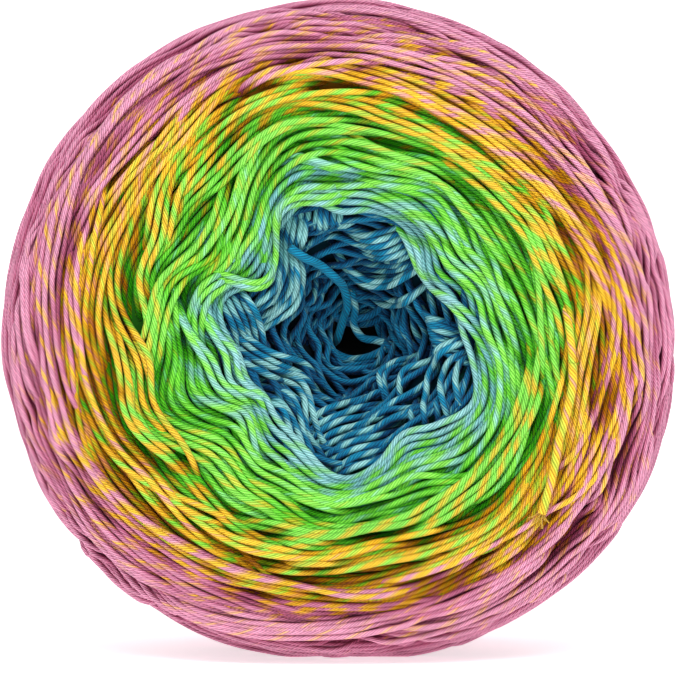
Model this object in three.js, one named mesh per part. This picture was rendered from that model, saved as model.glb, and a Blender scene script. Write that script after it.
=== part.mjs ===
// A wound cake of marled cotton yarn, standing on its rim, with its two loose ends.
// Millimetres, +Z up. The winding axis runs along Y, and the front face looks towards -Y.
// The origin is the middle of the flat spot on which the cake stands.
import * as THREE from "three";

// Driving sizes
const cakeWidth = 150; // across the belly, left to right
const axisHeight = 72.8; // winding axis above the surface; the rim is pressed flat below it
const centimetre = 10;
const yarnDiameter = 1.9;

// Fineness of the wound body
const turnSteps = 90; // round the axis
const samplesPerRow = 24; // for measuring lengths along the section

// Outline of the rim, seen from the front: a radius each 30 degrees, counted from +X towards +Z.
// The cake has sagged: it is fullest low on both sides.
const rimRadii = [74.6, 72.6, 73.2, 73.0, 73.9, 74.5, 75.0, 75.6, 75.4, 74.1, 76.1, 77.0];
const rimNominal = cakeWidth / 2;

// Outline of the front hollow's mouth, at the same angles: slack turns bulge in at the upper left.
const hollowRadii = [26.5, 25.5, 26.5, 26.8, 25.5, 20.5, 23.5, 22.5, 25.5, 29.5, 27.0, 29.0];
const hollowNominal = 26;

// The winding's section, from the front throat outwards, over the rim and back through the bore.
// rim and hollow say how far a row follows each outline, shiftX and shiftZ where the bore wanders,
// twist how high the main twists of the winding stand there, and rings how many rings of points
// a centimetre of the section has.
const sectionColumns = ["radius", "y", "rim", "hollow", "shiftX", "shiftZ", "twist", "rings"];
const sectionRows = [
  [6, -14, 0, 0.1, 4, -1.5, 0.3, 1.8], // front throat
  [12, -24, 0, 0.6, 2.6, -1, 1.0, 2.4], // front funnel, low
  [19.5, -32.5, 0, 0.9, 1, -0.4, 1.2, 2.6], // front funnel, high
  [26, -38, 0, 1, 0, 0, 1.0, 2.8], // front mouth
  [37, -41.3, 0.3, 0.5, 0, 0, 0.9, 2.8], // front face, inner
  [50, -42.6, 0.6, 0.1, 0, 0, 0.7, 2.8], // front crest
  [62, -41, 0.9, 0, 0, 0, 0.6, 2.6], // front face, outer
  [69.8, -35, 1, 0, 0, 0, 0.5, 2.4], // front shoulder
  [73.8, -23, 1, 0, 0, 0, 0.4, 1.8], // side, front
  [75, 0, 1, 0, 0, 0, 0.4, 1.5], // belly
  [73.8, 23, 1, 0, 0, 0, 0.4, 1.7], // side, back
  [69.8, 35, 1, 0, 0, 0, 0.5, 2.2], // back shoulder
  [62, 41, 0.9, 0, 0, 0, 0.6, 2.2], // back face, outer
  [50, 42.6, 0.6, 0, 0, 0, 0.7, 2.2], // back crest
  [36, 41.3, 0.3, 0, 0, 0, 0.9, 2.2], // back face, inner
  [24, 37.5, 0, 0.2, -1, 0.5, 1.0, 2.2], // back mouth
  [17, 31.5, 0, 0.2, -3.5, 1.5, 1.0, 2.2], // back funnel, high
  [10.5, 23, 0, 0.1, -6.5, 2.6, 0.6, 2.0], // back funnel, low
  [6.2, 13, 0, 0, -8, 3.2, 0.2, 1.6], // back throat
  [5.6, 0, 0, 0, -2, 0.8, 0, 1.4], // middle of the bore
];

// The main twists: families of ridges that spiral round the winding and cross each other.
// arms is the number of ridges met once round, and spacing their distance along the section.
const twistFamilies = [
  { arms: 6, spacing: 12, height: 0.8, start: 0.4 },
  { arms: -5, spacing: 15, height: 0.6, start: 2.1 },
];

// Route of the plain blue inner end: down the upper left wall of the front hollow and into the bore.
const innerEndRoute = [
  { x: -10.8, y: -35.8, z: 89.8 },
  { x: -7.4, y: -34.2, z: 87.6 },
  { x: -4.3, y: -30.9, z: 86.2 },
  { x: -1.0, y: -28.1, z: 83.5 },
  { x: 0.8, y: -24.3, z: 81.6 },
  { x: 1.7, y: -20.1, z: 77.7 },
  { x: 0.8, y: -16.6, z: 74.6 },
  { x: -0.2, y: -14.0, z: 71.0 },
  { x: -0.9, y: -11.0, z: 69.6 },
  { x: -1.2, y: -7.8, z: 69.6 },
];

// Route of the cut outer end, on the front face towards the lower right shoulder.
const outerEndRoute = [
  { x: 49.4, y: -43.7, z: 65.0 },
  { x: 49.5, y: -43.6, z: 61.0 },
  { x: 48.8, y: -43.5, z: 56.9 },
  { x: 47.8, y: -43.4, z: 52.7 },
  { x: 46.6, y: -43.4, z: 48.4 },
  { x: 45.8, y: -43.5, z: 44.2 },
  { x: 45.0, y: -43.6, z: 40.2 },
  { x: 43.9, y: -43.6, z: 36.4 },
  { x: 42.9, y: -43.5, z: 33.0 },
];
const cordSides = 8;
const cordStep = 4; // between the rings of a loose end's tube

// Colours of the dyed plies
const pinkCotton = 0xdf9cb3;
const blueCotton = 0x14709c;
const yellowCotton = 0xe8b62e;

// Catmull-Rom between b and c, with neighbours a and d.
function between(a, b, c, d, t) {
  const linear = c - a;
  const square = 2 * a - 5 * b + 4 * c - d;
  const cube = -a + 3 * b - 3 * c + d;
  return b + 0.5 * t * (linear + t * (square + t * cube));
}

// A closed table of values read at any place, counted in rows.
function readLoop(values, place) {
  const count = values.length;
  const row = Math.floor(place);
  const at = (k) => values[(((row + k) % count) + count) % count];
  return between(at(-1), at(0), at(1), at(2), place - row);
}

function readOutline(radii, angle) {
  return readLoop(radii, (angle / (2 * Math.PI)) * radii.length);
}

const sectionTable = Object.fromEntries(
  sectionColumns.map((column, k) => [column, sectionRows.map((row) => row[k])]),
);

function readSection(place) {
  return Object.fromEntries(
    sectionColumns.map((column) => [column, readLoop(sectionTable[column], place)]),
  );
}

// Places along the section, as close together as its rings column asks, each with its length
// from the front throat.
function sectionStations() {
  const walk = [{ length: 0, rings: 0 }];
  const samples = sectionRows.length * samplesPerRow;
  for (let k = 1; k <= samples; k++) {
    const before = readSection((k - 1) / samplesPerRow);
    const here = readSection(k / samplesPerRow);
    const step = Math.hypot(here.radius - before.radius, here.y - before.y);
    const last = walk[k - 1];
    walk.push({ length: last.length + step, rings: last.rings + (step * here.rings) / centimetre });
  }
  const whole = walk[samples].rings;
  const count = Math.round(whole);
  const stations = [];
  let k = 0;
  for (let j = 0; j < count; j++) {
    const rings = (whole * j) / count;
    while (walk[k + 1].rings < rings) k++;
    const part = (rings - walk[k].rings) / (walk[k + 1].rings - walk[k].rings);
    const length = walk[k].length + part * (walk[k + 1].length - walk[k].length);
    stations.push({ place: (k + part) / samplesPerRow, length });
  }
  return stations;
}

function twistHeight(angle, length) {
  let height = 0;
  for (const family of twistFamilies) {
    const phase = family.arms * angle + (2 * Math.PI * length) / family.spacing + family.start;
    height += family.height * Math.cos(phase);
  }
  return height;
}

// Point on the winding at an angle round the axis and a station along the section.
function windingPoint(angle, station) {
  const row = readSection(station.place);
  const ahead = readSection(station.place + 0.02);
  const along = Math.hypot(ahead.radius - row.radius, ahead.y - row.y);
  const normalOut = (ahead.y - row.y) / along;
  const normalY = -(ahead.radius - row.radius) / along;

  const rim = row.rim * (readOutline(rimRadii, angle) / rimNominal - 1);
  const hollow = row.hollow * (readOutline(hollowRadii, angle) / hollowNominal - 1);
  const raised = row.twist * twistHeight(angle, station.length);
  const radius = row.radius * (1 + rim + hollow) + raised * normalOut;

  const x = row.shiftX + radius * Math.cos(angle);
  const z = axisHeight + row.shiftZ + radius * Math.sin(angle);
  return [x, row.y + raised * normalY, Math.max(z, 0)];
}

// The wound body: a ring-shaped grid, closed both round the axis and round the section.
function woundBody() {
  const positions = [];
  const stations = sectionStations();
  const profileSteps = stations.length;
  for (let i = 0; i < turnSteps; i++) {
    const angle = (2 * Math.PI * i) / turnSteps;
    for (const station of stations) positions.push(...windingPoint(angle, station));
  }
  const indices = [];
  const at = (i, j) => (i % turnSteps) * profileSteps + (j % profileSteps);
  for (let i = 0; i < turnSteps; i++) {
    for (let j = 0; j < profileSteps; j++) {
      indices.push(at(i, j), at(i, j + 1), at(i + 1, j));
      indices.push(at(i + 1, j), at(i, j + 1), at(i + 1, j + 1));
    }
  }
  const geometry = new THREE.BufferGeometry();
  geometry.setAttribute("position", new THREE.Float32BufferAttribute(positions, 3));
  geometry.setIndex(indices);
  geometry.computeVertexNormals();
  return geometry;
}

// A loose end: a round section carried along its route.
function looseEnd(route) {
  const curve = new THREE.CatmullRomCurve3(route.map((p) => new THREE.Vector3(p.x, p.y, p.z)));
  const section = new THREE.Shape();
  for (let k = 0; k < cordSides; k++) {
    const turn = (2 * Math.PI * k) / cordSides;
    const x = (yarnDiameter / 2) * Math.cos(turn);
    const y = (yarnDiameter / 2) * Math.sin(turn);
    if (k === 0) section.moveTo(x, y);
    else section.lineTo(x, y);
  }
  section.closePath();
  return new THREE.ExtrudeGeometry(section, {
    steps: Math.round(curve.getLength() / cordStep),
    extrudePath: curve,
  });
}

function yarnMaterial(color) {
  return new THREE.MeshStandardMaterial({ color, roughness: 0.9, metalness: 0 });
}

function namedMesh(name, geometry, color) {
  const mesh = new THREE.Mesh(geometry, yarnMaterial(color));
  mesh.name = name;
  return mesh;
}

const yarnCake = new THREE.Group();
yarnCake.add(namedMesh("yarn_cake", woundBody(), pinkCotton));
yarnCake.add(namedMesh("inner_end", looseEnd(innerEndRoute), blueCotton));
yarnCake.add(namedMesh("outer_end", looseEnd(outerEndRoute), yellowCotton));

export default yarnCake;
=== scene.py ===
import math
from functools import partial

import bpy
import numpy as np
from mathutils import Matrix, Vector


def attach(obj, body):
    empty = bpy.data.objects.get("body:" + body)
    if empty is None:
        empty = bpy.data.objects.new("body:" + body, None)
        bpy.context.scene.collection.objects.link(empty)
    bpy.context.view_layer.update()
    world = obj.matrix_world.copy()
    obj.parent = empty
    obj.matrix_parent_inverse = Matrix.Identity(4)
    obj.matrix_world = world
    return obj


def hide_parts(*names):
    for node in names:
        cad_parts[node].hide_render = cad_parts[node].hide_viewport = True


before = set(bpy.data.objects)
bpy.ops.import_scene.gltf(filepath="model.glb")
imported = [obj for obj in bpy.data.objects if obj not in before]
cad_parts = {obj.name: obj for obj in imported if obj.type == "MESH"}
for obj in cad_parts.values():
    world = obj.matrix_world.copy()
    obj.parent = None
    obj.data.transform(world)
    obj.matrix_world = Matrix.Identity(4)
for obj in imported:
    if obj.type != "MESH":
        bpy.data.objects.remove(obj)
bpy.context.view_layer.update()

# A wound cake of marled cotton yarn that stands on its rim. Sizes are in millimetres until a mesh
# is made. X points right, Y from the front face to the back along the winding axis, Z up.
millimetre = 0.001
yarn = {
    "diameter": 1.9,
    "packed": 1.52,  # the same in the winding, where the turns press on each other
    "lead": 7.6,  # length of one full turn of the twist
    "plies": 4,
    "threads": 8,  # in all the plies together
    "stray": 0.12,  # share of a turn by which the twist runs ahead or back
    "strayLength": 11,
}
looseRadius = yarn["diameter"] / 2
packedRadius = yarn["packed"] / 2
draw = np.random.default_rng(20)  # one seeded source for all that is uneven

# Camera: square on to the front face, a little below the axis
cameraSettings = {
    "distance": 650,  # from the middle of the cake
    "height": 69.6,
    "sharpWidth": 155.3,  # what the picture's long side takes in there
    "sensor": 36.0,
}


def makeCamera(settings):
    data = bpy.data.cameras.new("camera")
    data.sensor_width = settings["sensor"]
    data.lens = settings["sensor"] * settings["distance"] / settings["sharpWidth"]
    camera = bpy.data.objects.new("camera", data)
    camera.location = (0, -settings["distance"] * millimetre, settings["height"] * millimetre)
    camera.rotation_euler = (math.pi / 2, 0, 0)
    bpy.context.scene.collection.objects.link(camera)
    bpy.context.scene.camera = camera


makeCamera(cameraSettings)

# Winding surface. The section runs from the front throat over the rim and back through the bore.
# rim and hollow say how far a row follows each outline, shiftX and shiftZ where the bore wanders,
# and twist how high the main twists stand there.
axisHeight = 72.8  # over the surface that the cake stands on
leastHeight = 0.75 * packedRadius  # the same for a strand's middle
rimRadii = [74.6, 72.6, 73.2, 73.0, 73.9, 74.5, 75.0, 75.6, 75.4, 74.1, 76.1, 77.0]
rimNominal = 75
hollowRadii = [26.5, 25.5, 26.5, 26.8, 25.5, 20.5, 23.5, 22.5, 25.5, 29.5, 27.0, 29.0]
hollowNominal = 26
sectionColumns = ["radius", "y", "rim", "hollow", "shiftX", "shiftZ", "twist"]
sectionRows = {
    "front throat": [6, -14, 0, 0.1, 4, -1.5, 0.3],
    "front funnel, low": [12, -24, 0, 0.6, 2.6, -1, 1.0],
    "front funnel, high": [19.5, -32.5, 0, 0.9, 1, -0.4, 1.2],
    "front mouth": [26, -38, 0, 1, 0, 0, 1.0],
    "front inner": [37, -41.3, 0.3, 0.5, 0, 0, 0.9],
    "front crest": [50, -42.6, 0.6, 0.1, 0, 0, 0.7],
    "front outer": [62, -41, 0.9, 0, 0, 0, 0.6],
    "front shoulder": [69.8, -35, 1, 0, 0, 0, 0.5],
    "side, front": [73.8, -23, 1, 0, 0, 0, 0.4],
    "belly": [75, 0, 1, 0, 0, 0, 0.4],
    "side, back": [73.8, 23, 1, 0, 0, 0, 0.4],
    "back shoulder": [69.8, 35, 1, 0, 0, 0, 0.5],
    "back outer": [62, 41, 0.9, 0, 0, 0, 0.6],
    "back crest": [50, 42.6, 0.6, 0, 0, 0, 0.7],
    "back inner": [36, 41.3, 0.3, 0, 0, 0, 0.9],
    "back mouth": [24, 37.5, 0, 0.2, -1, 0.5, 1.0],
    "back funnel, high": [17, 31.5, 0, 0.2, -3.5, 1.5, 1.0],
    "back funnel, low": [10.5, 23, 0, 0.1, -6.5, 2.6, 0.6],
    "back throat": [6.2, 13, 0, 0, -8, 3.2, 0.2],
    "bore": [5.6, 0, 0, 0, -2, 0.8, 0],
}
twistFamilies = [
    {"arms": 6, "spacing": 12, "height": 0.8, "start": 0.4},
    {"arms": -5, "spacing": 15, "height": 0.6, "start": 2.1},
]


def readLoop(values, place):
    # uniform Catmull-Rom through a closed table: between rows b and c, with neighbours a and d
    values = np.asarray(values, float)
    row = np.floor(place).astype(int)
    t = place - row
    a, b, c, d = (values[(row + k) % len(values)] for k in (-1, 0, 1, 2))
    return b + 0.5 * t * (c - a + t * (2 * a - 5 * b + 4 * c - d + t * (3 * (b - c) + d - a)))


def runningSum(steps):
    # the sum of the steps up to each place, from 0
    return np.concatenate([[0], np.cumsum(steps)])


def makeStations(samplesPerRow=24):
    # the section read at small even places, with its running length and its outward normal
    count = len(sectionRows) * samplesPerRow
    place = np.arange(count + 1) / samplesPerRow
    rows = np.array(list(sectionRows.values()), float)
    found = {name: readLoop(rows[:, k], place) for k, name in enumerate(sectionColumns)}
    stepRadius, stepY = np.gradient(found["radius"]), np.gradient(found["y"])
    step = np.hypot(stepRadius, stepY)
    found["normalOut"] = stepY / step
    found["normalY"] = -stepRadius / step
    found["length"] = runningSum(np.hypot(np.diff(found["radius"]), np.diff(found["y"])))
    return found, dict(zip(sectionRows, found["length"][::samplesPerRow]))


stations, rowLength = makeStations()
sectionLength = stations["length"][-1]
mouthY = sectionRows["front mouth"][1]


def alongSection(name, length):
    # a column of the section, straight from station to station
    return np.interp(np.mod(length, sectionLength), stations["length"], stations[name])


def readOutline(radii, angle):
    # an outline's radius: its table read at the angle's share of a full turn
    return readLoop(radii, np.mod(angle, 2 * np.pi) / (2 * np.pi) * len(radii))


def windingPoint(angle, length, height):
    # surface of the solid, raised along the section's normal by height; it is pressed flat at
    # the bottom, where a strand's middle stays above the surface that the cake stands on
    rim = alongSection("rim", length) * (readOutline(rimRadii, angle) / rimNominal - 1)
    hollow = alongSection("hollow", length) * (readOutline(hollowRadii, angle) / hollowNominal - 1)
    raised = 0
    for family in twistFamilies:
        phase = family["arms"] * angle + 2 * np.pi * length / family["spacing"] + family["start"]
        raised = raised + family["height"] * np.cos(phase)
    offset = alongSection("twist", length) * raised + height
    radius = alongSection("radius", length) * (1 + rim + hollow)
    radius = radius + offset * alongSection("normalOut", length)
    x = alongSection("shiftX", length) + radius * np.cos(angle)
    y = alongSection("y", length) + offset * alongSection("normalY", length)
    z = axisHeight + alongSection("shiftZ", length) + radius * np.sin(angle)
    return np.stack([x, y, np.maximum(z, np.maximum(-height, leastHeight))], axis=-1)


def windingNormal(angle, length):
    # the section's outward normal, turned to the angle round the axis
    out, y = alongSection("normalOut", length), alongSection("normalY", length)
    return np.stack([out * np.cos(angle), y, out * np.sin(angle)], axis=-1)


def makeMesh(name, points, quads, caps=(), uv=None, values=()):
    # quads is an array of four corners each, caps a list of arrays with any number of corners
    mesh = bpy.data.meshes.new(name)
    corners = np.concatenate([quads.ravel(), *caps]).astype(np.int32)
    sizes = np.concatenate([np.full(len(quads), 4), [len(cap) for cap in caps]]).astype(np.int32)
    mesh.vertices.add(len(points))
    mesh.vertices.foreach_set("co", (points * millimetre).astype(np.float32).ravel())
    mesh.loops.add(len(corners))
    mesh.loops.foreach_set("vertex_index", corners)
    mesh.polygons.add(len(sizes))
    mesh.polygons.foreach_set("loop_start", (np.cumsum(sizes) - sizes).astype(np.int32))
    mesh.polygons.foreach_set("loop_total", sizes)
    mesh.polygons.foreach_set("use_smooth", np.ones(len(sizes), bool))
    if uv is not None:
        mesh.uv_layers.new(name="UVMap").data.foreach_set("uv", uv.astype(np.float32).ravel())
    for attribute, amount in values:
        made = mesh.attributes.new(attribute, "FLOAT", "POINT")
        made.data.foreach_set("value", np.asarray(amount, np.float32).ravel())
    mesh.update(calc_edges=True)
    mesh.validate()
    piece = bpy.data.objects.new(name, mesh)
    bpy.context.scene.collection.objects.link(piece)
    return piece


def makeTube(path, normals, radius, sides, start, buried):
    # a ring of points round each place of the path, the first one on the side of the normal.
    # In the UV, u goes once round and v counts turns of the twist along it, a little unevenly.
    # start is v at the first place, and how much longer than usual a turn is.
    tangent = np.gradient(path, axis=0)
    tangent /= np.linalg.norm(tangent, axis=1, keepdims=True)
    across = np.cross(tangent, normals)
    across /= np.linalg.norm(across, axis=1, keepdims=True)
    up = np.cross(across, tangent)
    u = np.arange(sides) / sides
    turn = 2 * np.pi * u[None, :, None]
    ring = up[:, None] * np.cos(turn) + across[:, None] * np.sin(turn)
    points = path[:, None] + np.broadcast_to(radius, (len(path), sides))[..., None] * ring
    points[..., 2] = np.maximum(points[..., 2], 0)
    rings, around = np.arange(len(path) - 1)[:, None] * sides, np.arange(sides)[None]
    here, beside = rings + around, rings + (around + 1) % sides
    quads = np.stack([here, here + sides, beside + sides, beside], axis=-1).reshape(-1, 4)
    along = runningSum(np.linalg.norm(np.diff(path, axis=0), axis=1))
    v = start[0] + along / (yarn["lead"] * start[1])
    v = v + yarn["stray"] * np.sin(along / yarn["strayLength"] + 6 * start[0])
    low, high, left, right = np.broadcast_arrays(v[:-1, None], v[1:, None], u, u + 1 / sides)
    uv = np.stack([left, low, left, high, right, high, right, low], axis=-1).reshape(-1, 2)
    first = np.arange(sides)
    caps = [first, (len(path) - 1) * sides + first[::-1]]
    capUv = [np.stack([u, u * 0 + v[0]], -1), np.stack([u[::-1], u * 0 + v[-1]], -1)]
    # the painted shade of each point of the rings
    buried = np.broadcast_to(buried, points.shape[:2]).ravel()
    tube = {"points": points.reshape(-1, 3), "quads": quads, "caps": caps, "buried": buried}
    return {**tube, "uv": uv, "capUv": np.concatenate(capUv)}


# Laying strands: a map of how high the winding stands at each angle and length along the section.
# Each new strand rests on what is there and raises the map by its own round back. When all are
# laid, they are moved so that the winding's top comes to its place.
laying = {
    "angleCells": 1240,
    "cell": 0.4,  # along the section
    "step": 0.4,  # between the places of a path
    "fewest": 8,  # places of a path
    "contact": 0.62,  # radius at which soft strands press on each other
    "across": 7,  # places across a strand at which it meets the map
    "ceiling": 9.0,  # highest middle of a strand where no loose end lies over it
    "dive": 12.0,  # length over which an end goes down between the others
    "sink": 4.0,  # how far down it goes
}
# Levelling, by a strand's depth under the winding's top
levelling = {
    "level": 0.6,  # what lies higher is held back
    "proud": 1.3,  # to this much more, at most
    "give": 2.2,  # and this slowly
    "low": 1.5,  # what lies deeper is lifted
    "lift": 0.5,  # by this share of the rest
    "ease": 2,  # bell that smooths the heights, in places
    "core": 1,  # how far an end goes into the core
}
lengthCells = int(round(sectionLength / laying["cell"]))
cellLength = (np.arange(lengthCells) + 0.5) * sectionLength / lengthCells
# top of the core and mean top of the winding, over the solid's surface
layerRows = [
    ("front throat", -0.5, 1.0),
    ("front funnel, low", -2.4, 1.2),
    ("front mouth", -3.6, 1.4),
    ("front crest", -3.8, 1.2),
    ("front outer", -4.0, 0.9),
    ("front shoulder", -4.2, 0.1),
    ("side, front", -4.4, -0.6),
    ("side, back", -4.4, -0.6),
    ("back shoulder", -4.2, 0.2),
    ("back outer", -3.8, 0.7),
    ("back crest", -3.6, 1.0),
    ("back mouth", -3.4, 1.0),
    ("back throat", -0.5, 0.5),
    ("bore", -0.5, 0.5),
]
layerPlaces = [rowLength[name] for name, core, top in layerRows]
pressedRows = [(38, 1.0), (60, 0.82)]  # radius, and share of a turn's thickness that is left


def readLayer(column, length):
    # a column of the layers, straight from row to row
    heights = [row[column] for row in layerRows]
    return np.interp(np.mod(length, sectionLength), layerPlaces, heights)


coreTop, windingTop = partial(readLayer, 1), partial(readLayer, 2)


def pressed(length):
    # turns press on each other more towards the rim: straight from row to row by the radius
    return np.interp(alongSection("radius", length), *zip(*pressedRows))


heightMap = np.tile(coreTop(cellLength), (laying["angleCells"], 1))
ceilingMap = np.full(heightMap.shape, laying["ceiling"])


def mapCells(angle, length):
    # row of the map by the angle and column by the length, both going round
    a = np.floor(np.mod(angle, 2 * np.pi) / (2 * np.pi) * laying["angleCells"]).astype(int)
    b = np.floor(np.mod(length, sectionLength) / sectionLength * lengthCells).astype(int)
    return a % laying["angleCells"], b % lengthCells


def evenPath(angle, length):
    # the same path with its places a step apart on the surface
    radius = alongSection("radius", length)
    pace = np.hypot(np.diff(angle) * (radius[1:] + radius[:-1]) / 2, np.diff(length))
    run = runningSum(pace)
    even = np.linspace(0, run[-1], max(int(round(run[-1] / laying["step"])), laying["fewest"]))
    return np.interp(even, run, angle), np.interp(even, run, length)


def smooth(values, reach):
    # weighted mean over a bell of that reach, counted in places
    size = int(math.ceil(2.5 * reach))
    bell = np.exp(-0.5 * (np.arange(-size, size + 1) / reach) ** 2)
    return np.convolve(np.pad(values, size, mode="edge"), bell / bell.sum(), mode="valid")


def highest(values, reach):
    # largest value within that many places on either side
    padded = np.pad(values, reach, mode="edge")
    return np.lib.stride_tricks.sliding_window_view(padded, 2 * reach + 1).max(axis=1)


def footprint(angle, length, offsets):
    # cells under a strand: its path moved sideways on the surface by each offset
    radius = np.maximum(alongSection("radius", length), 4)
    alongAngle = np.gradient(angle) * radius
    alongLength = np.gradient(length)
    pace = np.hypot(alongAngle, alongLength) + 1e-9
    sideAngle = -alongLength / pace / radius
    sideLength = alongAngle / pace
    sideways = angle[:, None] + offsets * sideAngle[:, None]
    return mapCells(sideways, length[:, None] + offsets * sideLength[:, None])


def diving(count):
    # for a path of so many places: (1 - way from the nearer end / dive) squared, and then 0
    place = np.arange(count)
    way = np.minimum(place, place[::-1]) * laying["step"]
    return np.clip(1 - way / laying["dive"], 0, 1) ** 2


strands = []  # every strand that was laid, in order


def layStrand(group, angle, length, wound, dive, settle=1.5):
    # finds the height of the strand's middle at each place, raises the map and notes the strand;
    # settle is the length over which it bends up over another, dive how far its ends go down
    contact = laying["contact"] * pressed(length).mean()
    offsets = np.linspace(-contact, contact, laying["across"])
    back = np.sqrt(np.maximum(contact**2 - offsets**2, 0))
    cells = footprint(angle, length, offsets)
    height = (heightMap[cells] + back).max(axis=1)
    reach = settle / laying["step"]
    height = smooth(highest(height, int(round(reach))), reach)
    height = height - dive * diving(len(angle))
    np.maximum.at(heightMap, cells, height[:, None] + back)
    strand = {"group": group, "angle": angle, "length": length, "height": height, "wound": wound}
    tone, start, looser = draw.uniform(-1, 1), draw.uniform(0, 1), draw.uniform(0.85, 1.15)
    strands.append({**strand, "tone": tone, "twist": (start, looser)})


def blurMap(values, reachAngle, reachLength):
    # the map seen through a bell of that reach, in cells, each way
    waveAngle = np.fft.fftfreq(values.shape[0])[:, None] * reachAngle
    waveLength = np.fft.rfftfreq(values.shape[1])[None] * reachLength
    soften = np.exp(-2 * np.pi**2 * (waveAngle**2 + waveLength**2))
    return np.fft.irfft2(np.fft.rfft2(values) * soften, values.shape)


# Painted shade: how dark a point is painted by its depth, where a mm round its strand's flank counts
# as 1
shade = {
    "depth": 0.4,  # each mm from the winding's top to its strand's middle
    "funnel": 0.015,  # each mm down the front funnel, painted darker there
}


def levelled(strand):
    # the winding's top less the strand's depth under it: a share of what is deep is left out, and
    # what stands out is held back like tanh. The ends go down into the core.
    angle, length = strand["angle"], strand["length"]
    cells = mapCells(angle, length)
    depth = topMap[cells] - strand["height"]
    level = levelling["level"]
    held = level - levelling["proud"] * np.tanh((level - depth) / levelling["give"])
    depth = np.where(depth > level, depth, held)
    depth = depth - levelling["lift"] * np.maximum(depth - levelling["low"], 0)
    height = np.minimum(windingTop(length) - depth, ceilingMap[cells])
    height = smooth(height, levelling["ease"])
    return height - np.maximum(height - coreTop(length) + levelling["core"], 0) * diving(len(angle))


def buildGroup(name, group, sides, stride, most=190000):
    # meshes of all strands of a group, so many to a piece that none has too many triangles; the
    # painted shade says how dark a point is painted by its depth, wound how far out in the winding
    # its strand belongs
    pieces, tubes, values, size = [], [], [], 0
    chosen = [strand for strand in strands if strand["group"] == group]
    for k, strand in enumerate(chosen):
        count = len(strand["angle"])
        keep = np.unique(np.append(np.arange(0, count, stride), count - 1))
        height = levelled(strand)[keep]
        angle, length = strand["angle"][keep], strand["length"][keep]
        path = windingPoint(angle, length, height)
        thick = packedRadius * pressed(length)[:, None]
        crest = thick * np.cos(2 * np.pi * np.arange(sides) / sides)
        # painted shade: darker the deeper a point lies under the winding's top, the further down the
        # front funnel and the further round its strand's flank
        funnelShade = shade["funnel"] * np.maximum(path[:, 1] - mouthY, 0)
        funnelShade = np.where(path[:, 1] < 0, funnelShade, 0)
        deep = shade["depth"] * (windingTop(length) - height) + funnelShade
        buried = deep[:, None] + thick - crest
        normals = windingNormal(angle, length)
        tubes.append(makeTube(path, normals, thick, sides, strand["twist"], buried))
        values.append((strand["wound"], strand["tone"]))
        size += 2 * len(tubes[-1]["quads"])
        if k + 1 == len(chosen) or size + 2 * len(chosen[k + 1]["angle"]) / stride * sides > most:
            pieces.append(joinTubes(f"{name}_{len(pieces) + 1}", tubes, values))
            tubes, values, size = [], [], 0
    return pieces


def joinTubes(name, tubes, values):
    # one mesh of all the tubes, with their wound, tone and painted shade as attributes of its points
    first = np.cumsum([0] + [len(tube["points"]) for tube in tubes])
    sizes = np.diff(first)
    quads = np.concatenate([tube["quads"] + at for tube, at in zip(tubes, first)])
    caps = [cap + at for tube, at in zip(tubes, first) for cap in tube["caps"]]
    uv = np.concatenate([tube["uv"] for tube in tubes] + [tube["capUv"] for tube in tubes])
    wound, tone = (np.repeat(column, sizes) for column in np.array(values, float).T)
    points, buried = (np.concatenate([tube[key] for tube in tubes]) for key in ("points", "buried"))
    attributes = [("wound", wound), ("tone", tone), ("buried", buried)]
    return makeMesh(name, points, quads, caps, uv, attributes)


# Where the innermost strands of the front face lie: a radius each 15 degrees from +X towards +Z.
# They hang over the hollow at the right and the upper left, and are drawn back at the bottom.
mouthRadii = [
    24.4, 23.0, 20.5, 23.6, 25.0, 25.1, 25.3, 27.3, 24.2, 19.5, 18.6, 24.4,
    24.5, 22.5, 21.7, 21.8, 22.8, 28.0, 31.4, 29.8, 25.6, 29.0, 31.8, 28.4,
]
slackShape = {
    "mouthFade": 9,  # mm from the mouth over which its outline dies away
    "ripple": 0.3,  # height of the small ripples on the front face
    "rippleFade": 22,
    "rippleElsewhere": 0.4,
}
# Slack waves: where turns have slipped, the strands of a whole region bend together. A row has the
# angle and radius of its middle, its reach in degrees and in mm, and how far out the strands move.
slackRows = [
    [222, 34, 8, 8, -2.4],
    [240, 36, 8, 9, 2.4],
    [204, 40, 9, 9, 2.0],
    [188, 44, 10, 9, -1.6],
    [165, 40, 10, 9, 1.8],
    [128, 42, 12, 10, -2.0],
    [108, 40, 10, 8, 1.4],
    [75, 40, 14, 9, -1.2],
    [30, 44, 12, 9, 1.4],
    [350, 46, 12, 9, -1.4],
    [310, 44, 12, 10, 1.6],
    [280, 42, 12, 9, -1.4],
    [315, 46, 38, 12, 2.4],
    [165, 47, 50, 12, -1.0],
    [262, 58, 35, 9, 2.0],
]


def slackWave(angle, length):
    # on the front face, the mouth's outline less the solid's, which fades outwards, and the sum of
    # bumps that are a bell in angle times a bell in radius; everywhere small ripples
    radius = alongSection("radius", length)
    ripple = np.sin(7 * angle + radius / 5) + 0.7 * np.sin(11 * angle - radius / 4)
    away = np.maximum(radius - hollowNominal, 0)
    mouth = readOutline(mouthRadii, angle) - readOutline(hollowRadii, angle)
    moved = mouth * np.exp(-away / slackShape["mouthFade"])
    moved = moved + slackShape["ripple"] * ripple * np.exp(-away / slackShape["rippleFade"])
    for degrees, middle, wide, deep, out in slackRows:
        turn = np.mod(angle - math.radians(degrees) + np.pi, 2 * np.pi) - np.pi
        far = (turn / math.radians(wide)) ** 2 + ((radius - middle) / deep) ** 2
        moved = moved + out * np.exp(-far)
    return np.where(alongSection("y", length) < 0, moved, slackShape["rippleElsewhere"] * ripple)


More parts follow.
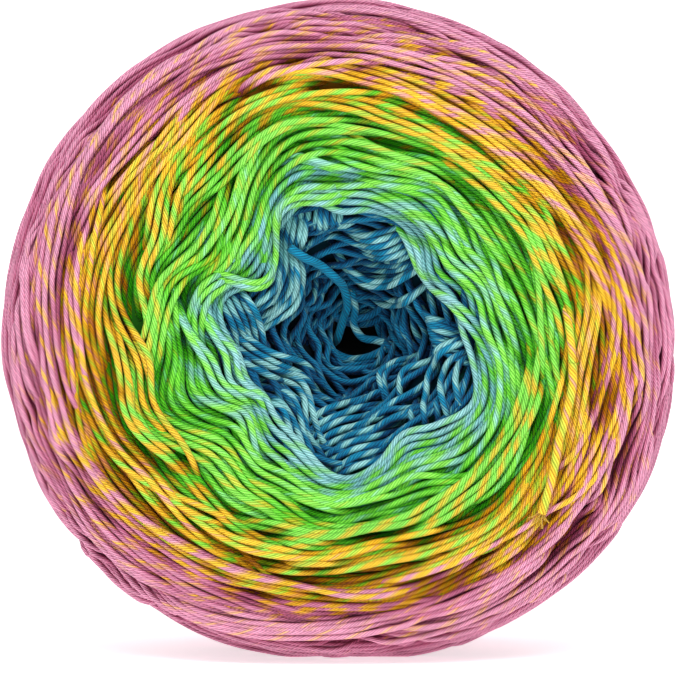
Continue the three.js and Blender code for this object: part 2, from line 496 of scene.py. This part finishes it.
# The two loose ends lie where the solids have them, and strands stay out of their way
ends = {
    "inner_end": {
        "wound": 4,
        "route": [
            (-10.8, -35.8, 89.8), (-7.4, -34.2, 87.6), (-4.3, -30.9, 86.2), (-1, -28.1, 83.5),
            (0.8, -24.3, 81.6), (1.7, -20.1, 77.7), (0.8, -16.6, 74.6), (-0.2, -14, 71),
            (-0.9, -11, 69.6), (-1.2, -7.8, 69.6),
        ],
    },
    "outer_end": {
        "wound": 54,
        "route": [
            (49.4, -43.7, 65), (49.5, -43.6, 61), (48.8, -43.5, 56.9), (47.8, -43.4, 52.7),
            (46.6, -43.4, 48.4), (45.8, -43.5, 44.2), (45, -43.6, 40.2), (43.9, -43.6, 36.4),
            (42.9, -43.5, 33),
        ],
    },
}


def curveThrough(points, perSpan):
    # open Catmull-Rom curve through the points, its first and last span led on straight
    points = np.asarray(points, float)
    led = np.concatenate([[2 * points[0] - points[1]], points, [2 * points[-1] - points[-2]]])
    place = 1 + np.arange((len(points) - 1) * perSpan + 1) / perSpan
    place[-1] -= 1e-9
    return np.stack([readLoop(column, place) for column in led.T], axis=-1)


# the ceiling comes down where an end is this near, aside from a cell or over it
keepOff = {"perSpan": 3, "aside": 2.2, "over": 5}
cellAngle = (np.arange(laying["angleCells"]) + 0.5) * 2 * np.pi / laying["angleCells"]
surface = windingPoint(cellAngle[:, None], cellLength[None], np.zeros(heightMap.shape))
surfaceNormal = windingNormal(*np.broadcast_arrays(cellAngle[:, None], cellLength[None]))
for end in ends.values():
    for place in curveThrough(end["route"], keepOff["perSpan"]):
        away = place - surface
        height = (away * surfaceNormal).sum(axis=-1)
        aside = np.linalg.norm(away - height[..., None] * surfaceNormal, axis=-1)
        under = (aside < keepOff["aside"]) & (np.abs(height) < keepOff["over"])
        ceilingMap[under] = np.minimum(ceilingMap[under], height[under] - yarn["diameter"])

# Hollow: slack strands hang across the funnel in bundles, read as they are seen from the camera:
# how many, the step from one strand to the next, how far out in the winding they belong, and the
# first strand's route, all as (right, up) in mm from the picture's middle at the depth of the mouth.
hollowBundles = [
    ("wall, upper right", 5, (1.4, 0.5), 11.5, [(7.2, 7.9), (8.8, 3.9), (11.2, -1.3), (14, -4.9)]),
    ("wall, right", 7, (0.7, -1.4), 13.5,
     [(14.4, 10.3), (17.2, 7.1), (20.8, 4.7), (24.8, 3.1), (29, 1.5)]),
    ("wall, left", 5, (1.8, -0.2), 10.5, [(-20.1, 4.7), (-18.5, 1.5), (-16.9, -2.5), (-16.1, -5.7)]),
    ("wall, upper left", 6, (1.4, -0.2), 10.5,
     [(-10, 17.6), (-9.8, 13.5), (-10.6, 10.3), (-12.9, 7.1)]),
    ("wall, bottom", 6, (2, 0.6), 9.5, [(1.6, -6.9), (0.4, -10.1), (-1.2, -13.3), (-2.4, -15.7)]),
    ("throat, right loops", 3, (1, -0.2), 5.5,
     [(5.6, 9.1), (3.8, 6.3), (4, 2.7), (6, 0.5), (9.2, -0.3)]),
    ("throat, lower loop", 2, (0.2, -1), 6.5,
     [(-2, -1.3), (-1.2, -4.1), (1.2, -5.5), (4.4, -5.1), (10, -2.5)]),
    ("throat, left loops", 4, (1.2, 0.2), 6.5, [(-4.8, 8.7), (-5.2, 4.7), (-7.2, 1.5), (-7.6, -1.3)]),
    ("hook, left", 2, (1, -0.6), 13.5,
     [(-4.8, 15.6), (-4.2, 11.9), (-6.4, 8.3), (-10, 7.5), (-12.2, 8.7)]),
    ("hook, lower left", 2, (-0.5, -1), 12.5, [(-10, 3.9), (-9.4, 0.3), (-7.2, -2.3), (-3, -3.5)]),
    ("fan, upper left", 9, (1.3, 0.1), 15.5,
     [(-9.2, 34), (-10.2, 28), (-10.5, 24.8), (-11.2, 21.6), (-11.2, 18)]),
    ("pocket, upper right", 9, (0.4, -1.2), 15.5,
     [(-2.4, 24.6), (2, 23.2), (6.8, 23), (12.2, 24), (18, 25.6)]),
    ("pocket loop, inner", 2, (-0.2, -1.1), 16.5,
     [(-1.8, 22), (0, 18), (3.6, 14.9), (8.8, 13.1), (12.8, 13.9), (17, 16.8), (21.5, 20.5)]),
    ("pocket loop, outer", 2, (0, -1.2), 17.5,
     [(3.2, 12.7), (7.2, 10.3), (10.8, 8.8), (14.8, 9.5), (18, 12.2), (22, 15.5)]),
    ("pocket brow", 1, (0, 0), 17.5,
     [(-2.6, 20), (-1.8, 22.8), (0, 24.6), (4.4, 25.4), (10, 24.8)]),
    ("left arm", 5, (1, -0.9), 19.5,
     [(-28, 0), (-23.9, 2.9), (-19.7, 6.3), (-15.3, 9.9), (-13.1, 13.5), (-12.2, 17.6),
      (-12.2, 22.8), (-11, 28), (-9, 34)]),
    ("lower left, inner", 4, (-0.7, -1.4), 16.5,
     [(-28, 6), (-22.5, 3.1), (-18.1, -0.5), (-12.9, -3.5), (-8, -4.9), (-4, -7.3), (-1.2, -11.3)]),
    ("lower left, outer", 6, (-1.1, -1.2), 18.5,
     [(-16.1, -5.3), (-11.2, -7.3), (-8, -9.7), (-6.4, -13.3), (-5.2, -18.1), (-2, -23.3),
      (1.5, -29)]),
    ("bottom", 9, (0.6, -1.5), 15.5,
     [(-10, -18.5), (-6, -16.5), (-2, -14.9), (2.8, -13.3), (8, -10.7), (11.2, -8.5)]),
    ("fingers, behind", 5, (2.4, 0.2), 12.5, [(14.4, -8.5), (16, -11.7), (15.6, -15.3), (15.6, -22)]),
    ("finger, 1", 2, (-1, 0.6), 13.5,
     [(17.6, 0.3), (17.2, -2.9), (12.4, -5.5), (9.8, -7.7), (9.6, -10.5), (11.4, -14.5)]),
    ("finger, 2", 1, (0, 0), 16.5,
     [(30, 3), (24, -0.1), (19.2, -3.3), (14.8, -6.1), (13.4, -8.9), (13.4, -12.5), (14.6, -15.7)]),
    ("finger, 3", 1, (0, 0), 16.5,
     [(31, 2), (24.6, -1.3), (21.2, -4.5), (19.4, -7.3), (19.2, -10.9), (18, -14.5), (17.6, -22)]),
    ("finger, 4", 1, (0, 0), 17.5,
     [(31, 1), (26, -2.5), (22.6, -5.7), (22.8, -9.3), (22, -12.1), (24, -22)]),
    ("finger, 5", 1, (0, 0), 18.5,
     [(31, 0), (26.8, -3.3), (24.4, -7.3), (24.6, -10.5), (27, -20)]),
    ("wall, far left", 5, (1.3, 0.2), 15.5,
     [(-27, 15), (-25, 9.5), (-23.2, 4), (-21, -1), (-18.5, -5)]),
]
# Single strands that lie over the others: a slack loop round the upper left of the mouth, and one
# across the lower right of the face
looseStrands = [
    ("slack loop", 2, (-0.3, 1.3), 34.5,
     [(-33, 14), (-29.1, 14.7), (-22.4, 12.4), (-20, 11.5), (-17.5, 11.4), (-15.3, 12.9),
      (-14, 15.3), (-13.6, 19), (-13.6, 23.4), (-13.3, 26.6), (-12.1, 28.5), (-10.1, 29.5),
      (-7.4, 30), (-3.1, 29.8), (2.2, 30.5), (8, 32)]),
    ("crossing", 1, (0, 0), 60.5,
     [(58, -20), (55.6, -27.4), (51.4, -32.1), (48.6, -34.2), (45.7, -35.9), (43.7, -37.3),
      (40, -39.3), (37.1, -41.3), (30, -44.9), (21.5, -48.4), (9.9, -51.6), (2, -52.5)]),
]


def seenFrom(points):
    # where points appear from the camera, scaled to the depth of the hollow's mouth
    away = cameraSettings["distance"] + points[..., 1]
    scale = (cameraSettings["distance"] + mouthY) / away
    return points[..., 0] * scale, (points[..., 2] - cameraSettings["height"]) * scale


# Chart: where the front is seen, at even steps of the angle and the length
chartAngle = np.radians(np.arange(0, 360, 0.5))
chartLength = np.arange(-1, rowLength["front shoulder"], 0.25)
chartFlat = np.zeros((len(chartAngle), len(chartLength)))
chartRight, chartUp = seenFrom(windingPoint(chartAngle[:, None], chartLength[None], chartFlat))


def chartPlaces(right, up):
    # angle and length of the chart's node that is seen nearest to each place
    nearest = [np.argmin((chartRight - x) ** 2 + (chartUp - y) ** 2) for x, y in zip(right, up)]
    a, b = np.unravel_index(nearest, chartRight.shape)
    return np.unwrap(chartAngle[a]), chartLength[b]


def layBundles(bundles, jitter, dive, perSpan=5, ease=3):
    # strand k of a bundle goes by the route moved by k steps, each point strayed a little
    for name, count, step, wound, route in bundles:
        for k in range(count):
            stray = draw.normal(0, jitter, (len(route), 2))
            seen = curveThrough(np.array(route) + k * np.array(step) + stray, perSpan)
            angle, length = (smooth(values, ease) for values in evenPath(*chartPlaces(*seen.T)))
            layStrand("hollow", angle, length, wound + draw.normal(0, 1), dive)


pathPlaces = {"bedTurn": 700, "group": 1200}  # on a path before it is evened
strays = {"bed": 1.5, "group": 1.2, "strand": 0.6}  # of the colours, in mm of winding


# Bed: one close spiral that leaves no gap, cut into strands of a few turns
def layBed(settings):
    # length = from + reach * angle / (whole angle), and besides it the slack, or else
    # wobble * sin(4 * angle + 1.7 * length)
    reach = settings["to"] - settings["from"]
    count = int(round(reach / (settings["turns"] * settings["pitch"])))
    for k in range(count):
        places = pathPlaces["bedTurn"] * settings["turns"]
        angle = 2 * np.pi * (np.linspace(k, k + 1, places) * settings["turns"])
        length = settings["from"] + reach * angle / (2 * np.pi * settings["turns"] * count)
        belongs = settings.get("wound", alongSection("radius", length.mean()))
        wobble = settings.get("wobble", 0) * np.sin(4 * angle + 1.7 * length)
        slack = slackWave(angle, length) if settings["slack"] else wobble
        angle, length = evenPath(angle, length + slack)
        wound = belongs + draw.normal(0, strays["bed"])
        layStrand(settings["group"], angle, length, wound, laying["sink"])


# Groups of turns: strands side by side, each up to most of a turn long, that swing in and out in
# waves and drift, no further than a little over the family's edges. Of several chances the one that
# lies lowest is taken, as turns slip into the valleys between others.
def planTurns(settings, place):
    # drift is mm along the section for each radian, its share of the radius from a bell
    base = place + draw.uniform(-settings["stray"], settings["stray"])
    room = max(min(base - settings["from"], settings["to"] - base), 0) + settings["over"]
    numbers, usual = zip(*settings["waves"])
    highs = draw.normal(0, 1, len(numbers)) * usual
    highs *= min(room / np.abs(highs).sum(), 1)
    waves = [(n, high, draw.uniform(0, 2 * np.pi)) for n, high in zip(numbers, highs)]
    half = np.pi * draw.uniform(*settings["turns"])
    most = room / half
    drift = np.clip(draw.normal(*settings["drift"]) * alongSection("radius", base), -most, most)
    return base, draw.uniform(0, 2 * np.pi), half, drift, waves


def turnPath(settings, plan, aside, start, bend):
    # length = base + aside * pitch + drift * turn + sum of high * sin(n * angle + phase), with two
    # small ripples that differ from strand to strand
    base, centre, half, drift, waves = plan
    turn = np.linspace(-half, half, pathPlaces["group"])
    angle = centre + start + turn
    length = base + aside * settings["pitch"] * pressed(base) + drift * turn
    for n, high, phase in waves:
        length = length + high * np.sin(n * angle + phase + bend)
    length = length + 0.2 * np.sin(9 * angle + 2 * aside) + 0.12 * np.sin(17 * angle + 5 * aside)
    return angle, length + slackWave(angle, length) if settings["slack"] else length


def layTurns(settings):
    # so many groups that their strands cover the family's area layers times, spread evenly over it
    places = np.linspace(settings["from"], settings["to"], 400)
    radii = alongSection("radius", places)
    covered = runningSum(radii[1:] * np.abs(np.diff(places)))
    wide = settings["together"] * settings["pitch"] * pressed(places).mean()
    groupArea = radii.mean() * np.mean(settings["turns"]) * wide
    groups = int(round(settings["layers"] * covered[-1] / groupArea))
    bases = np.interp((np.arange(groups) + 0.5) / groups * covered[-1], covered, places)
    for base in draw.permutation(bases) if settings["mixed"] else bases:
        lowest = None
        for chance in range(settings["chances"]):
            plan = planTurns(settings, base)
            angle, length = turnPath(settings, plan, 0, 0, 0)
            level = (heightMap[mapCells(angle, length)] - coreTop(length)).mean()
            if lowest is None or level < lowest[0]:
                lowest = (level, plan)
        plan = lowest[1]
        belongs = alongSection("radius", plan[0]) + draw.normal(0, strays["group"])
        together = draw.integers(settings["together"] - 1, settings["together"] + 2)
        for k in range(together):
            aside = k - (together - 1) / 2
            start, bend = draw.uniform(-0.2, 0.2), draw.normal(0, 0.03)
            angle, length = evenPath(*turnPath(settings, plan, aside, start, bend))
            wound = belongs + draw.normal(0, strays["strand"])
            layStrand(settings["group"], angle, length, wound, laying["sink"], settings["settle"])


hollowBed = {
    "group": "hollow", "from": 2, "to": rowLength["front mouth"] + 6,
    "turns": 2, "pitch": 1.6, "wound": 10.5, "slack": False, "wobble": 0.9,
}
faceBed = {
    "group": "face", "from": rowLength["front mouth"], "to": rowLength["front outer"] + 4,
    "turns": 2, "pitch": 1.35, "slack": True,
}
faceTurns = {
    "group": "face", "from": rowLength["front mouth"] + 1, "to": rowLength["front outer"] + 5,
    "layers": 2.4, "together": 3, "pitch": 1.5, "turns": (0.3, 0.7), "over": 3.0, "stray": 2.5,
    "chances": 30, "waves": [(1, 1.2), (2, 1.9), (3, 1.3), (4, 1.0), (6, 0.6)],
    "drift": (-0.04, 0.03), "settle": 1.6, "slack": True, "mixed": False,
}
backBed = {
    "group": "back", "from": rowLength["back outer"] - 4, "to": rowLength["back throat"] - 3,
    "turns": 3, "pitch": 1.45, "slack": True,
}
backTurns = {
    **faceTurns, "group": "back",
    "from": rowLength["back shoulder"] + 2, "to": rowLength["back mouth"] - 2,
    "layers": 1.1, "together": 4,
}
# the side is wound criss-cross, and over the front shoulder the turns run almost round it
sideBed = {
    "group": "bed",
    "from": rowLength["front outer"] + 4, "to": rowLength["back outer"] - 4,
    "turns": 3, "pitch": 1.25, "slack": False,
}
sideTurns = {
    **faceTurns, "group": "side",
    "from": rowLength["front shoulder"] + 2, "to": rowLength["back shoulder"] - 2,
    "layers": 1.4, "together": 4, "waves": [(1, 14.0), (2, 5.0), (3, 1.5)], "drift": (0.0, 0.05),
    "settle": 2.5, "slack": False, "mixed": True,
}
rimTurns = {
    **faceTurns, "group": "rim",
    "from": rowLength["front outer"] + 2, "to": rowLength["side, front"] + 5,
    "layers": 1.3, "waves": [(1, 1.5), (2, 1.5), (3, 0.8), (5, 0.4)], "settle": 2.0,
    "slack": False,
}
layBed(hollowBed)
layBundles(hollowBundles, 0.25, 2.5)
print("hollow laid")
layBed(faceBed)
layBed(sideBed)
layTurns(sideTurns)
layTurns(faceTurns)
layTurns(rimTurns)
layBundles(looseStrands, 0.0, laying["sink"])
print("front and side laid")
layBed(backBed)
layTurns(backTurns)
print("back laid")
# The top: the highest cell within three cells each way, blurred
for axis in (0, 1):
    heightMap = np.max([np.roll(heightMap, shift, axis) for shift in range(-3, 4)], axis=0)
topMap = blurMap(heightMap, 8, 7)
# pieces: name, group, sides of a strand, and how many places of its path one ring stands for
pieceRows = [
    ("hollow_strands", "hollow", 8, 3),
    ("face_strands", "face", 8, 4),
    ("rim_strands", "rim", 8, 4),
    ("back_strands", "back", 6, 6),
    ("side_strands", "side", 6, 7),
    ("side_bed", "bed", 6, 12),
]
strandPieces = [piece for row in pieceRows for piece in buildGroup(*row)]
print("strands built")

# Core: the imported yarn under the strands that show
coreSteps = {"round": 160, "along": 110}


def makeCore(settings):
    # a grid closed round the axis and round the section, under the laid strands
    angle = 2 * np.pi * np.arange(settings["round"]) / settings["round"]
    length = sectionLength * np.arange(settings["along"]) / settings["along"]
    under = np.tile(coreTop(length), (settings["round"], 1))
    points = windingPoint(angle[:, None], length[None], under)
    here = np.arange(under.size).reshape(under.shape)
    beside = np.roll(here, -1, axis=1)
    quads = np.stack([here, beside, np.roll(beside, -1, axis=0), np.roll(here, -1, axis=0)], -1)
    return makeMesh("wound_core", points.reshape(-1, 3), quads.reshape(-1, 4))


core = makeCore(coreSteps)


# Loose ends: real lobes of the four plies
# the loose ends and their fray get a little painted shade, the same all over
endShape = {"sides": 24, "perSpan": 12, "lobe": 0.09, "buried": 0.2}
# Fray: the threads that splay from the cut outer end
fray = {"count": 14, "radius": 0.15, "length": (1.6, 3.6), "apart": 0.5, "bend": (0.1, 0.7)}
freeShape = {"sides": 12, "perSpan": 6, "thick": 0.92}  # beside a loose end


def looseTube(path, radius, sides, buried):
    # a tube whose twist starts at the front, with the same painted shade all over
    facing = np.broadcast_to([0.0, -1.0, 0.25], path.shape)
    return makeTube(path, facing, radius, sides, (0.0, 1.0), buried)


def frayedThread(path, shape):
    # from inside the cut end a thread runs on and bends aside, like t squared
    onward = path[-1] - path[-4]
    onward /= np.linalg.norm(onward)
    aside = np.cross(onward, draw.normal(0, 1, 3))
    t = np.linspace(0, 1, 7)[:, None]
    length = draw.uniform(*shape["length"])
    bend = draw.uniform(*shape["bend"])
    start = path[-3] + shape["apart"] * draw.uniform(0, 1) * aside
    run = start + length * (t * onward + bend * t**2 * aside)
    run[:, 1] = np.minimum(run[:, 1], path[-1, 1] + 0.3)
    facing = np.broadcast_to([0.3, -1.0, 0.3], run.shape)
    return makeTube(run, facing, shape["radius"], 6, (0.5, 9.0), endShape["buried"])


def makeEnd(name, settings, shape):
    path = curveThrough(settings["route"], shape["perSpan"])
    steps = np.linalg.norm(np.diff(path, axis=0), axis=1)
    turns = runningSum(steps) / yarn["lead"]
    around = np.arange(shape["sides"]) / shape["sides"]
    # the radius dips in each groove between two plies, which winds round with the twist
    groove = np.abs(np.sin(np.pi * yarn["plies"] * (around[None] + turns[:, None]))) ** 0.7
    radius = looseRadius * (1 + shape["lobe"] * (groove - 0.75))
    tube = looseTube(path, radius, shape["sides"], shape["buried"])
    piece = joinTubes(name, [tube], [(settings["wound"], 0.0)])
    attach(piece, "root")
    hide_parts(name)
    return piece


# Slack strands that hang free across the throat, and the one that leads to the outer end: how far out
# in the winding each belongs, how much shade is painted on it, and its route
freeStrands = [
    (10, 0.9, [(-4, -18, 77.5), (-1.2, -16.5, 75.6), (2, -16, 74.8), (5.4, -16.5, 74.9),
               (8.4, -17.5, 76.4), (11, -20, 79)]),
    (12, 1.0, [(-3, -18, 79), (0.3, -15, 76.4), (3.7, -14.5, 76.2), (7.2, -15, 76), (10.3, -16, 77),
               (13, -19, 79)]),
    (11, 1.0, [(-3, -17, 76.5), (0, -15, 74.5), (3.5, -14, 73.5), (7, -14, 73.8), (10, -16, 75.5),
               (12.5, -19, 78)]),
    (12, 0.7, [(-5, -17, 72), (-3, -16, 68.8), (-0.5, -15.5, 66.8), (2.6, -15, 65.7),
               (6.4, -15.5, 66.2), (10, -17, 67.8), (12.5, -18.5, 68.5)]),
    (14, 0.6, [(2.6, -21, 81), (3.4, -18, 77), (3.2, -16, 73.4), (5.2, -15, 70.4), (8.6, -16, 69.8),
               (12.5, -18, 68.2)]),
    (54, 0.3, [(49.4, -43.7, 65), (49.25, -43.6, 68), (48.9, -43.1, 71.5), (48.4, -42, 75),
               (47.7, -40.4, 78.5), (46.9, -38.6, 82)]),
]


def makeFree(rows, shape):
    # one tube a route, and the frayed threads of the cut end
    tubes, values = [], []
    for wound, deep, route in rows:
        path = curveThrough(route, shape["perSpan"])
        tubes.append(looseTube(path, shape["thick"] * looseRadius, shape["sides"], deep))
        values.append((wound, draw.uniform()))
    path = curveThrough(ends["outer_end"]["route"], endShape["perSpan"])
    for k in range(fray["count"]):
        tubes.append(frayedThread(path, fray))
        values.append((ends["outer_end"]["wound"], 1.0))
    return joinTubes("free_strands", tubes, values)


endPieces = [makeEnd(name, settings, endShape) for name, settings in ends.items()]
strandPieces.append(makeFree(freeStrands, freeShape))
print("ends made")


# Materials
def fromHex(code):
    # sRGB hex value turned to linear light
    parts = np.array([int(code[k : k + 2], 16) for k in (1, 3, 5)]) / 255
    linear = np.where(parts <= 0.04045, parts / 12.92, ((parts + 0.055) / 1.055) ** 2.4)
    return (*[float(c) for c in linear], 1.0)


def startMaterial(name, values):
    # a new material with these values on its shader
    material = bpy.data.materials.new(name)
    material.use_nodes = True
    shader = material.node_tree.nodes["Principled BSDF"]
    for key, value in values.items():
        shader.inputs[key].default_value = value
    return material, material.node_tree, shader.inputs


def addNode(tree, kind, settings, inputs):
    # adds a node, sets its properties, gives each input its value or links it to the socket given,
    # and returns its first output
    node = tree.nodes.new(kind)
    for key, value in settings.items():
        setattr(node, key, value)
    for key, value in inputs.items():
        if isinstance(value, bpy.types.NodeSocket):
            tree.links.new(value, node.inputs[key])
        else:
            node.inputs[key].default_value = value
    return node.outputs[0] if node.outputs else None


def fillRamp(socket, rows, scale):
    # rows are (end, colour, blur): a colour passes into the next from a blur before its end to
    # one after
    ramp = socket.node.color_ramp
    stops = []
    begin = 0
    for end, code, blur in rows:
        stops += [(begin / scale, code), ((end - blur) / scale, code)]
        begin = end + blur
    while len(ramp.elements) < len(stops):
        ramp.elements.new(0.5)
    for element, (place, code) in zip(ramp.elements, stops):
        element.position = place
        element.color = fromHex(code)


windingScale = 100  # mm of winding that a whole ramp stands for
dyes = [
    (17, "#0083a8", 2.2), (32, "#96cdcf", 5.0), (48.5, "#8fe35a", 4.2), (61, "#f4c83c", 3.6),
    (99, "#e6a0bc", 0.0),
]
# painted shade of the core: the dyes darkened by radius, nearly black in the bore
coreShadeDyes = [
    (16, "#010a10", 1.5), (26, "#052a38", 1.5), (36, "#125048", 1.5),
    (48, "#266a18", 1.5), (58, "#8a5a10", 1.5), (99, "#6a2c42", 0.0),
]
cottonLook = {
    "dyeSpread": 10.5,  # mm of winding from the first ply's colour change to the last one's
    "threadSpread": 4.5,  # the same between the threads of a ply, at most
    "buried": (0.3, 2.0),  # from where to where the painted shade deepens the colour
    "shadeGamma": 1.3,  # painted shade: how much the dye deepens between strands
    "grooveShadeGamma": 0.3,  # painted shade: the same between threads
    "bright": (-0.6, 1.04),  # painted shade: change with depth, and brightness on top
    "thread": (0.42, 0.64),  # painted light and shade: gain on a thread's back, and brightness in its groove
    "streak": (0.3, 0.82),  # gain by chance, and the least
    "tone": 0.05,  # how much strands differ
    "shine": (-0.2, 0.2),  # no specular where shade is painted
    "plyRelief": 0.6,
}
maths, byVector = "ShaderNodeMath", "ShaderNodeVectorMath"
add, multiply, multiplyAdd, fraction = (
    {"operation": name} for name in ("ADD", "MULTIPLY", "MULTIPLY_ADD", "FRACT")
)


def marledCotton(look):
    # mercerised four-ply cotton: each ply changes dye at its own place, so that neighbouring dyes
    # twist together. The eye sees soft, slightly silky threads with deep grooves between them, whose
    # shade is painted into the colour, as is the shade between strands.
    values = {"Roughness": 0.7, "Sheen Weight": 0.05}
    material, tree, shader = startMaterial("marledCotton", values)
    put = partial(addNode, tree)
    place = put("ShaderNodeUVMap", {"uv_map": "UVMap"}, {})
    u = put("ShaderNodeSeparateXYZ", {}, {0: place})
    wound, tone, buried = (
        put("ShaderNodeAttribute", {"attribute_name": name}, {}).node.outputs["Fac"]
        for name in ("wound", "tone", "buried")
    )
    # place round the strand, counted with the twist
    turn = put(maths, add, {0: u, 1: u.node.outputs[1]})
    turn = put(maths, fraction, {0: turn})
    # round backs: 1 on the back of each thread or ply, 0 in the groove beside it
    counts, backs = {}, {}
    for part in ("plies", "threads"):
        counts[part] = put(maths, multiply, {0: turn, 1: yarn[part]})
        back = put(maths, fraction, {0: counts[part]})
        back = put(maths, multiply, {0: back, 1: math.pi})
        backs[part] = put(maths, {"operation": "SINE"}, {0: back})
    # each thread's own lightness: white noise read at its number, told apart by the strand's tone
    number = put(maths, {"operation": "FLOOR"}, {0: counts["threads"]})
    number = put(maths, multiplyAdd, {0: tone, 1: 50.0, 2: number})
    chance = put("ShaderNodeTexWhiteNoise", {"noise_dimensions": "1D"}, {"W": number})
    # dye: the ramp read at the strand's place in the winding, which goes later and earlier round
    # the strand like a cosine, and a little by chance from thread to thread
    delay = put(maths, multiply, {0: turn, 1: 2 * math.pi})
    delay = put(maths, {"operation": "COSINE"}, {0: delay})
    late = put(maths, multiplyAdd, {0: delay, 1: -look["dyeSpread"] / 2, 2: wound})
    late = put(maths, multiplyAdd, {0: chance, 1: -look["threadSpread"], 2: late})
    late = put(maths, add, {0: late, 1: look["threadSpread"] / 2})
    late = put(maths, {"operation": "DIVIDE"}, {0: late, 1: windingScale})
    dye = put("ShaderNodeValToRGB", {}, {0: late})
    fillRamp(dye, dyes, windingScale)
    # painted shade: the dye deepens between strands and in the threads' grooves, as light that comes
    # back from between strands has met dye many times
    least, most = look["buried"]
    smoothly = {"interpolation_type": "SMOOTHSTEP"}
    deep = put("ShaderNodeMapRange", smoothly, {0: buried, 1: least, 2: most, 3: 0.0, 4: 1.0})
    groove = put(maths, {"operation": "SUBTRACT"}, {0: 1.0, 1: backs["threads"]})
    power = 1.0
    for where, key in ((deep, "shadeGamma"), (groove, "grooveShadeGamma")):
        power = put(maths, multiplyAdd, {0: where, 1: look[key], 2: power})
    dyed = put("ShaderNodeGamma", {}, {0: dye, 1: power})
    # brightness: painted shade by depth, times painted light and shade by thread, times by chance,
    # and a little by strand
    sources = {"bright": deep, "thread": backs["threads"], "streak": chance, "shine": deep}
    lights = {}
    for key, source in sources.items():
        gain, least = look[key]
        lights[key] = put(maths, multiplyAdd, {0: source, 1: gain, 2: least})
    bright = lights["bright"]
    for key in ("thread", "streak"):
        bright = put(maths, multiply, {0: bright, 1: lights[key]})
    bright = put(maths, multiplyAdd, {0: tone, 1: look["tone"], 2: bright})
    colour = put(byVector, {"operation": "SCALE"}, {0: dyed, "Scale": bright})
    height = {0: backs["plies"], 1: look["plyRelief"], 2: backs["threads"]}
    height = put(maths, multiplyAdd, height)
    relief = {"Strength": 0.9, "Distance": 0.15 * millimetre, "Height": height}
    tree.links.new(colour, shader["Base Color"])
    tree.links.new(put("ShaderNodeBump", {}, relief), shader["Normal"])
    tree.links.new(lights["shine"], shader["Specular IOR Level"])
    return material


def coreShadeCotton():
    # painted shade: the same yarn deep in the winding, where hardly any light reaches, coloured in
    # the dyes of the solid darkened at their distances from the axis, nearly black in the bore
    values = {"Roughness": 0.9, "Specular IOR Level": 0.1}
    material, tree, shader = startMaterial("coreShadeCotton", values)
    put = partial(addNode, tree)
    place = put("ShaderNodeTexCoord", {}, {}).node.outputs["Object"]
    middle = (0, 0, axisHeight * millimetre)
    place = put(byVector, {"operation": "SUBTRACT"}, {0: place, 1: middle})
    place = put(byVector, multiply, {0: place, 1: (1, 0, 1)})
    radius = put(byVector, {"operation": "LENGTH"}, {0: place}).node.outputs["Value"]
    radius = put(maths, {"operation": "DIVIDE"}, {0: radius, 1: windingScale * millimetre})
    colour = put("ShaderNodeValToRGB", {}, {0: radius})
    fillRamp(colour, coreShadeDyes, windingScale)
    tree.links.new(colour, shader["Base Color"])
    return material


cotton = marledCotton(cottonLook)
for piece in strandPieces + endPieces:
    piece.data.materials.append(cotton)
core.data.materials.append(coreShadeCotton())
for piece in strandPieces + [core]:
    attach(piece, "root")
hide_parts("yarn_cake")
print("materials set")

# Stage: a white sweep of paper and soft light from above the camera
stageSettings = {
    "paper": (5000, -5000, 3000, 5000),  # half its width, its front edge, the wall, the wall's top
    "glow": 0.62,  # light that the paper gives by itself
    "keyPower": 10.4,
    "keySize": 600,
    "keyFrom": (60, -760, 860),
    "sky": 0.385,
}


def makeStage(settings):
    half, front, wall, top = (size * millimetre for size in settings["paper"])
    profile = ((front, 0), (wall, 0), (wall, top))
    corners = [(side * half, y, z) for y, z in profile for side in (-1, 1)]
    mesh = bpy.data.meshes.new("sweep")
    mesh.from_pydata(corners, [], [(0, 1, 3, 2), (2, 3, 5, 4)])
    sweep = bpy.data.objects.new("sweep", mesh)
    bpy.context.scene.collection.objects.link(sweep)
    values = {
        "Base Color": fromHex("#fafafa"), "Roughness": 0.9,
        "Emission Color": (1, 1, 1, 1), "Emission Strength": settings["glow"],
    }
    mesh.materials.append(startMaterial("whitePaper", values)[0])  # matt paper, lit evenly
    world = bpy.data.worlds.new("studio")
    world.use_nodes = True
    sky = world.node_tree.nodes["Background"]
    sky.inputs["Color"].default_value = (1, 1, 1, 1)
    sky.inputs["Strength"].default_value = settings["sky"]
    bpy.context.scene.world = world
    key = bpy.data.lights.new("key", "AREA")
    key.energy = settings["keyPower"]
    key.size = settings["keySize"] * millimetre
    lamp = bpy.data.objects.new("key", key)
    lamp.location = [c * millimetre for c in settings["keyFrom"]]
    aim = Vector((0, 0, axisHeight)) - Vector(settings["keyFrom"])
    lamp.rotation_euler = aim.to_track_quat("-Z", "Y").to_euler()
    bpy.context.scene.collection.objects.link(lamp)


makeStage(stageSettings)
bpy.context.scene.view_settings.view_transform = "Standard"
print("stage set")
